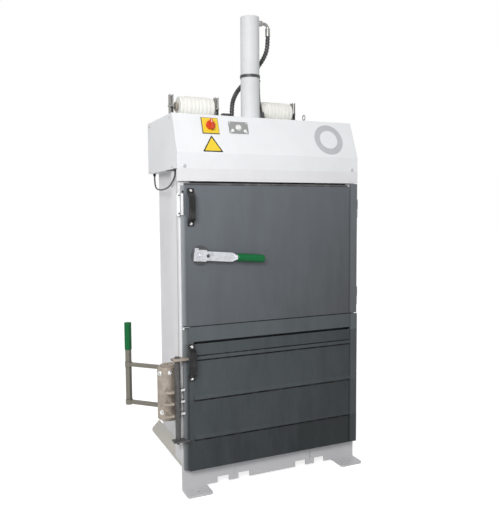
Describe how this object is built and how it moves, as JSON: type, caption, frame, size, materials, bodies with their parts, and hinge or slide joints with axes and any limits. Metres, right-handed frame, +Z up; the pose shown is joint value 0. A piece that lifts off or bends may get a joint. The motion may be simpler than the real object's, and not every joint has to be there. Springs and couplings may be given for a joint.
{
  "type": "recycling baler",
  "caption": "Upright baler with split front doors, a sloped hood, a press cylinder standing out of its roof, tape rolls beside it and a swing lever door lock.",
  "frame": {"origin": "on the floor, midway between the two front floor bolt holes", "axes": "+X to the viewer's right when facing the doors, +Y to the back, +Z up"},
  "size_m": [1.3262, 0.752, 2.596],
  "materials": {
    "white_paint": "satin powder coat",
    "door_paint": "satin powder coat",
    "black_plastic": "matt",
    "black_steel": "satin",
    "zinc_steel": "zinc plated",
    "bare_steel": "mill finish, worn",
    "rod_chrome": "polished",
    "hose_rubber": "matt",
    "cable_sheath": "matt",
    "hub_finish": "satin",
    "lever_paint": "satin",
    "green_grip": "satin",
    "grey_plastic": "satin",
    "yellow_plate": "gloss",
    "red_knob": "gloss",
    "light_button": "gloss",
    "tape_white": "woven tape",
    "motor_paint": "satin"
  },
  "bodies": {
    "frame": {"front_plinth": "white_paint", "rear_plinth": "white_paint", "legs": "white_paint", "cross_beams": "white_paint", "floor_plate": "bare_steel", "skirt_left": "white_paint", "skirt_right": "white_paint", "post_left": "white_paint", "post_right": "white_paint", "side_wall_left": "white_paint", "side_wall_right": "white_paint", "rear_wall": "white_paint", "crosshead": "white_paint", "lintel": "white_paint", "hood_cover": "white_paint", "hood_side_left": "white_paint", "hood_side_right": "white_paint", "hood_screws": "zinc_steel", "cylinder_tube": "white_paint", "cylinder_head": "zinc_steel", "cylinder_band": "black_steel", "frame_bolts": "zinc_steel", "hose_elbow": "zinc_steel", "top_hose": "hose_rubber", "roof_fitting": "zinc_steel", "return_hose": "hose_rubber", "roll_brackets": "zinc_steel", "roll_rods": "zinc_steel", "tape_guide": "zinc_steel", "oil_tank": "black_steel", "pump_motor": "motor_paint", "electrical_box": "grey_plastic", "side_cable": "cable_sheath", "cable_glands": "black_plastic", "safety_switch": "white_paint", "frame_knuckles": "white_paint", "hinge_pins": "zinc_steel", "switch_plate": "yellow_plate", "control_plate": "grey_plastic", "lock_carrier": "hub_finish"},
    "upper_door": {"upper_door_panel": "door_paint", "upper_door_liner": "door_paint", "upper_door_handle": "black_plastic", "latch_disc": "black_steel"},
    "latch": {"latch_lever": "zinc_steel", "latch_grip": "green_grip", "latch_tongue": "zinc_steel"},
    "lower_door": {"lower_door_panel": "door_paint", "lower_door_liner": "door_paint", "lower_door_handle": "black_plastic", "lock_rod": "zinc_steel"},
    "side_lock": {"lock_hub": "hub_finish", "lever_frame": "lever_paint", "lever_grip": "green_grip"},
    "ram": {"piston_rod": "rod_chrome", "press_plate": "bare_steel"},
    "left_roll": {"tape_roll_left": "tape_white"},
    "right_roll": {"tape_roll_right": "tape_white"},
    "main_switch": {"switch_knob": "red_knob"},
    "push_button": {"start_button": "light_button"}
  },
  "joints": [
    {"name": "upper_door_hinge", "type": "hinge", "parent": "frame", "child": "upper_door", "pos_m": [0.532, 0.035, 1.25], "axis": [0, 0, 1], "range_deg": [0, 110]},
    {"name": "lower_door_hinge", "type": "hinge", "parent": "frame", "child": "lower_door", "pos_m": [0.532, 0.035, 0.5], "axis": [0, 0, 1], "range_deg": [0, 110]},
    {"name": "latch_turn", "type": "hinge", "parent": "upper_door", "child": "latch", "pos_m": [-0.432, 0, 1.255], "axis": [0, 1, 0], "range_deg": [0, 90]},
    {"name": "side_lock_swing", "type": "hinge", "parent": "frame", "child": "side_lock", "pos_m": [-0.595, 0.12, 0.531], "axis": [0, 0, 1], "range_deg": [0, 24]},
    {"name": "ram_stroke", "type": "slide", "parent": "frame", "child": "ram", "axis": [0, 0, -1], "range_m": [0, 0.73]},
    {"name": "left_roll_spin", "type": "hinge", "parent": "frame", "child": "left_roll", "pos_m": [-0.322, 0.416, 2.076], "axis": [1, 0, 0], "continuous": true},
    {"name": "right_roll_spin", "type": "hinge", "parent": "frame", "child": "right_roll", "pos_m": [0.182, 0.416, 2.076], "axis": [1, 0, 0], "continuous": true},
    {"name": "main_switch_turn", "type": "hinge", "parent": "frame", "child": "main_switch", "pos_m": [-0.343, 0.09856, 1.93261], "axis": [0, -0.9333, 0.359], "range_deg": [-90, 0]},
    {"name": "button_press", "type": "slide", "parent": "frame", "child": "push_button", "axis": [0, 0.9333, -0.359], "range_m": [0, 0.004], "stiffness_N_per_m": 600}
  ]
}
